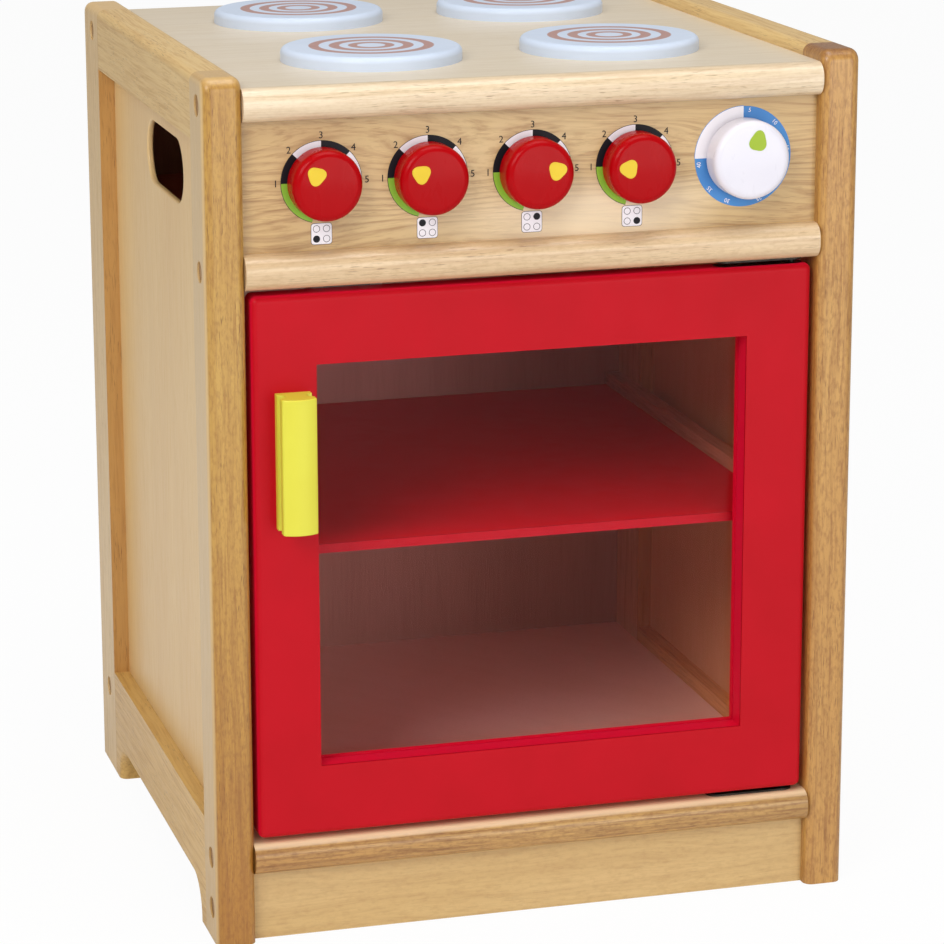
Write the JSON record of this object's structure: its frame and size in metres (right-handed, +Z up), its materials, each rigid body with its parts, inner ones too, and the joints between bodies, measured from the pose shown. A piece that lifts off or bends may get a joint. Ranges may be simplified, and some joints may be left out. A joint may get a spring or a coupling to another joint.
{
  "type": "toy oven",
  "caption": "Free-standing wooden play oven: hob discs on top, turning knobs, a hinged door with a window, an inner shelf and open hand holes in frame-and-panel sides.",
  "frame": {"origin": "on the floor, at the middle of the plan box that holds the sides, the knobs and the door handle", "axes": "+X to the right seen from the front, -Y the front with the door, +Z up"},
  "size_m": [0.4, 0.394, 0.5265],
  "materials": {
    "solid_wood": "clear satin lacquer on pale hardwood",
    "plywood": "clear satin lacquer on pale plywood",
    "plug_wood": "lacquered end grain",
    "steel": "zinc plated",
    "red_painted_wood": "satin paint",
    "white_painted_wood": "satin paint",
    "yellow_painted_wood": "satin paint",
    "blue_painted_wood": "satin paint",
    "clear_pane": "clear acrylic sheet",
    "white_plastic": "moulded"
  },
  "bodies": {
    "cabinet": {"left_front_post": "solid_wood", "right_front_post": "solid_wood", "left_rear_post": "solid_wood", "right_rear_post": "solid_wood", "left_top_rail": "solid_wood", "right_top_rail": "solid_wood", "left_bottom_rail": "solid_wood", "right_bottom_rail": "solid_wood", "top_nosing": "solid_wood", "middle_rail": "solid_wood", "sill": "solid_wood", "plinth": "solid_wood", "left_shelf_batten": "solid_wood", "right_shelf_batten": "solid_wood", "control_panel": "solid_wood", "left_side_panel": "plywood", "right_side_panel": "plywood", "top_board": "plywood", "oven_ceiling": "plywood", "bottom_board": "plywood", "back_panel": "plywood", "left_plugs": "plug_wood", "right_plugs": "plug_wood", "left_frame_screws": "steel", "right_frame_screws": "steel", "back_screws": "steel", "batten_screws": "steel", "burner_screws": "steel", "frame_plate_screws": "steel", "catch_poles": "steel", "lower_pivot_plate": "steel", "upper_pivot_plate": "steel", "shelf": "red_painted_wood", "front_left_burner": "blue_painted_wood", "front_right_burner": "blue_painted_wood", "rear_left_burner": "blue_painted_wood", "rear_right_burner": "blue_painted_wood", "magnet_catch": "white_plastic", "knob_washers": "steel"},
    "door": {"door_frame": "red_painted_wood", "door_window": "clear_pane", "window_beads": "red_painted_wood", "door_handle": "yellow_painted_wood", "handle_screws": "steel", "door_pivot_plates": "steel", "door_plate_screws": "steel", "strike_plate": "steel"},
    "turning_knob_1": {"knob_1": "red_painted_wood", "knob_1_screw": "steel"},
    "turning_knob_2": {"knob_2": "red_painted_wood", "knob_2_screw": "steel"},
    "turning_knob_3": {"knob_3": "red_painted_wood", "knob_3_screw": "steel"},
    "turning_knob_4": {"knob_4": "red_painted_wood", "knob_4_screw": "steel"},
    "turning_timer": {"timer_knob": "white_painted_wood", "timer_knob_screw": "steel"}
  },
  "joints": [
    {"name": "door_hinge", "type": "hinge", "parent": "cabinet", "child": "door", "pos_m": [0.163, -0.166, 0.23], "axis": [0, 0, 1], "range_deg": [0, 100]},
    {"name": "knob_1_turn", "type": "hinge", "parent": "cabinet", "child": "turning_knob_1", "pos_m": [-0.1283, -0.179, 0.461], "axis": [0, -1, 0], "continuous": true},
    {"name": "knob_2_turn", "type": "hinge", "parent": "cabinet", "child": "turning_knob_2", "pos_m": [-0.0646, -0.179, 0.461], "axis": [0, -1, 0], "continuous": true},
    {"name": "knob_3_turn", "type": "hinge", "parent": "cabinet", "child": "turning_knob_3", "pos_m": [-0.0009, -0.179, 0.461], "axis": [0, -1, 0], "continuous": true},
    {"name": "knob_4_turn", "type": "hinge", "parent": "cabinet", "child": "turning_knob_4", "pos_m": [0.0623, -0.179, 0.461], "axis": [0, -1, 0], "continuous": true},
    {"name": "timer_turn", "type": "hinge", "parent": "cabinet", "child": "turning_timer", "pos_m": [0.1298, -0.179, 0.4627], "axis": [0, -1, 0], "continuous": true}
  ]
}
